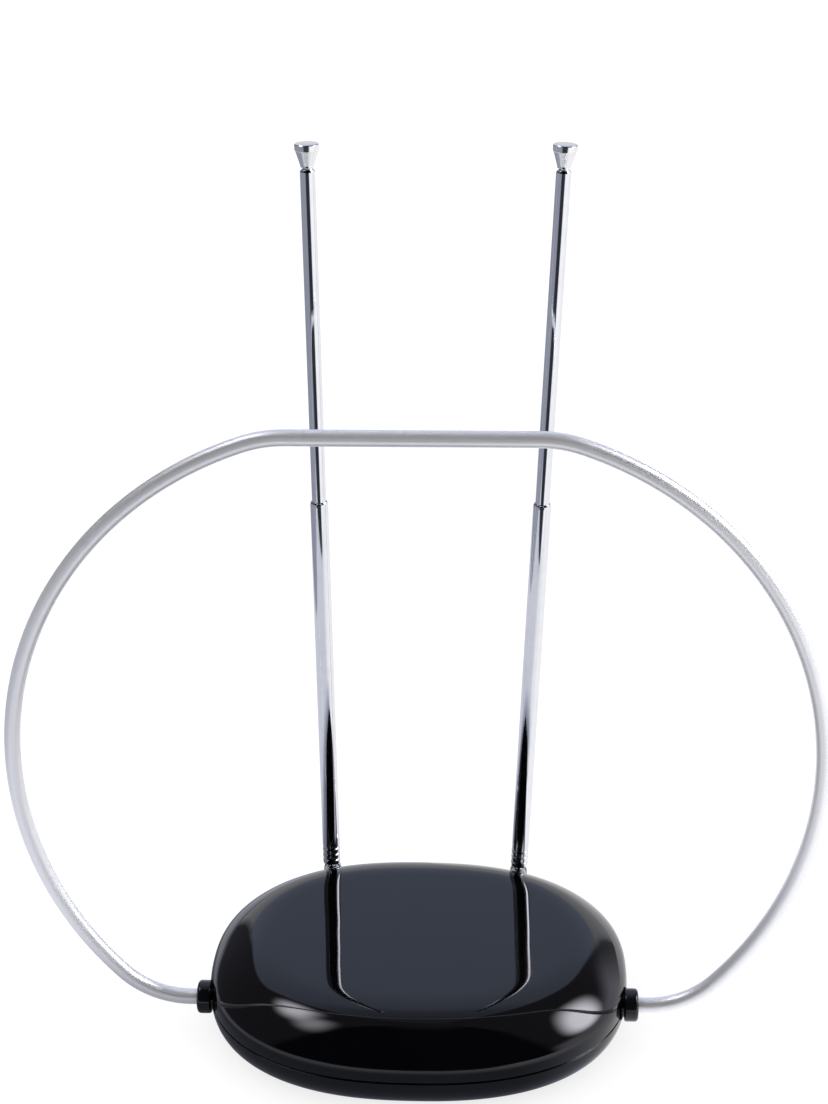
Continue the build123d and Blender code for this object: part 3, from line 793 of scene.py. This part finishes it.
def sky(az, el):
    """Painted reflection colour from azimuth (0 front, +90 right) and elevation, degrees."""
    c = (0.10, 0.10, 0.12)
    # light wall behind, wider where it is high
    turn = az % 360
    lo = 148 - 6 * step(el, 30, 50)
    hi = 210 + 22 * step(el, 24, 50)
    back = window(turn, lo, hi, 1.5) * (1 - 0.45 * step(el, 60, 72) - 0.4 * step(el, 72, 86))
    c = blend(c, blend((0.74, 0.755, 0.79), (0.50, 0.57, 0.77), step(el, 16.5, 18.5)), back)
    # glow of the right wall, low
    right = window(az, 58, 138, 12.0) * (1 - step(el, 14, 30))
    c = blend(c, (0.92, 0.92, 1.06), right)
    # painted dark reflection of the room in front
    front = window(az, -60, 57, 5.0) * step(el, -3, 3) * (1 - step(el, 80, 88))
    c = blend(c, (0.001, 0.001, 0.002), front)
    # painted reflections of softboxes
    for a0, e0, wa, we, k, s0 in ((-103, 61, 24, 12, 8.0, 0.15), (-76, 64, 22, 11, 3.4, 0.1), (97, 36, 25, 22, 11.0, 0.3)):
        d = hypot((az - a0) / wa, (el - e0) / we)
        g = (1 - step(d, s0, 1.0)) * k
        c = tuple(p + g * q for p, q in zip(c, (0.97, 0.96, 1.05)))
    return c


def table(x, y):
    """Painted reflection colour of the table at x, y in metres: a white sheet, painted lighter where lit from the
    right, whose front edge runs a little askew; past it the table is dark in front, grey-blue to the left and
    painted lit to the right."""
    dx, dy = x, y - BY * MM
    az = math.degrees(atan2(dx, -dy))
    # painted light: the sheet is brighter towards the right
    lit = step(az, 0, 75) * (1 - 0.3 * step(az, 100, 180)) if az > 0 else 0.0
    g = 0.70 + 0.36 * lit
    # painted shadow round the base, away from the light on the right
    out = (hypot(dx / (BA * MM), dy / (BB * MM)) - 1) * 50
    shade = 1 - step(az, 30, 85) if az > -160 else (180 + az) / 20
    g += (0.19 - g) * (1 - step(out, 24, 66)) * shade
    # past the front edge or the left edge of the sheet
    past = max(step(-dy + 0.27 * dx, 0.236, 0.240), step(-dx, 0.233, 0.237))
    beyond = 0.03 + 0.29 * (1 - step(az, -36, -22)) + 1.1 * step(az, 20, 36)
    g += (beyond - g) * past
    # painted reflection: darker parts of the sheet get a blue tint
    cool = 1 - step(g, 0.3, 1.0)
    return (g * (1 - 0.05 * cool), g, g * (1.03 + 0.2 * cool))


def glow_material():
    m = bpy.data.materials.new("studio_reflection")
    m.use_nodes = True
    t = m.node_tree
    t.nodes.clear()
    o = t.nodes.new("ShaderNodeOutputMaterial")
    e = t.nodes.new("ShaderNodeEmission")
    a = t.nodes.new("ShaderNodeVertexColor")
    a.layer_name = "light"
    t.links.new(a.outputs[0], e.inputs[0])
    t.links.new(e.outputs[0], o.inputs[0])
    m.cycles.emission_sampling = "NONE"
    return m


def reflected(name, verts, faces, cols, m):
    ob = stage_mesh(name, verts, faces, m)
    att = ob.data.color_attributes.new(name="light", type="FLOAT_COLOR", domain="POINT")
    att.data.foreach_set("color", [q for c in cols for q in (*c, 1.0)])
    ob.visible_camera = ob.visible_diffuse = ob.visible_transmission = False
    ob.visible_shadow = ob.visible_volume_scatter = False
    return ob


def studio():
    m = glow_material()
    verts, cols, faces = [], [], []
    els = [-1.0] + [k * 1.5 for k in range(60)] + [89.9]
    NA = 240
    for el in els:
        for i in range(NA):
            az = -180 + 360 * i / NA
            a, e = radians(az), radians(el)
            verts.append((3 * sin(a) * cos(e), -3 * cos(a) * cos(e), 3 * sin(e)))
            cols.append(sky(az, el))
    for k in range(len(els) - 1):
        for i in range(NA):
            j = (i + 1) % NA
            faces.append((k * NA + i, k * NA + j, (k + 1) * NA + j, (k + 1) * NA + i))
    # painted reflection dome: glows only for glossy rays
    reflected("painted_reflection_walls", verts, faces, cols, m)
    verts, cols, faces = [], [], []
    rs = [0.04 + 0.004 * k for k in range(95)] + [0.45, 0.5, 0.6, 0.8, 1.0, 3.05]
    NA = 720
    for r in rs:
        for i in range(NA):
            a = 2 * pi * i / NA
            x, y = r * sin(a), BY * MM - r * cos(a)
            verts.append((x, y, 0.0003))
            cols.append(table(x, y))
    for k in range(len(rs) - 1):
        for i in range(NA):
            j = (i + 1) % NA
            faces.append((k * NA + i, k * NA + j, (k + 1) * NA + j, (k + 1) * NA + i))
    # painted reflection sheet over the table: glows only for glossy rays
    reflected("painted_reflection_table", verts, faces, cols, m)


studio()

world = bpy.data.worlds.new("studio")
bpy.context.scene.world = world
world.use_nodes = True
wt = world.node_tree
bg = wt.nodes["Background"]
bg.inputs[0].default_value = (1.0, 1.0, 1.0, 1)
bg.inputs[1].default_value = 1.0

bpy.context.scene.view_settings.view_transform = "Standard"
bpy.context.scene.view_settings.look = "None"

# camera: the photograph's viewing angle
YAW, PITCH, ROLL = 0.04926, radians(22.985), 0.0097
cam = bpy.data.cameras.new("camera")
cam_o = bpy.data.objects.new("camera", cam)
bpy.context.scene.collection.objects.link(cam_o)
cam.sensor_width = 36.0
cam.lens = 1980.0 / 1104.0 * 36.0
fwd = Vector((-sin(YAW) * cos(PITCH), cos(YAW) * cos(PITCH), -sin(PITCH)))
rgt = Vector((cos(YAW), sin(YAW), 0))
up = rgt.cross(fwd)
r2 = rgt * cos(ROLL) - up * sin(ROLL)
u2 = rgt * sin(ROLL) + up * cos(ROLL)
loc = Vector((21.68, -432.96, 312.1)) + Vector((0, KY, ZK))
mw = Matrix((r2, u2, -fwd)).transposed().to_4x4()
mw.translation = loc * MM
cam_o.matrix_world = mw
cam.clip_start, cam.clip_end = 0.01, 50
bpy.context.scene.camera = cam_o
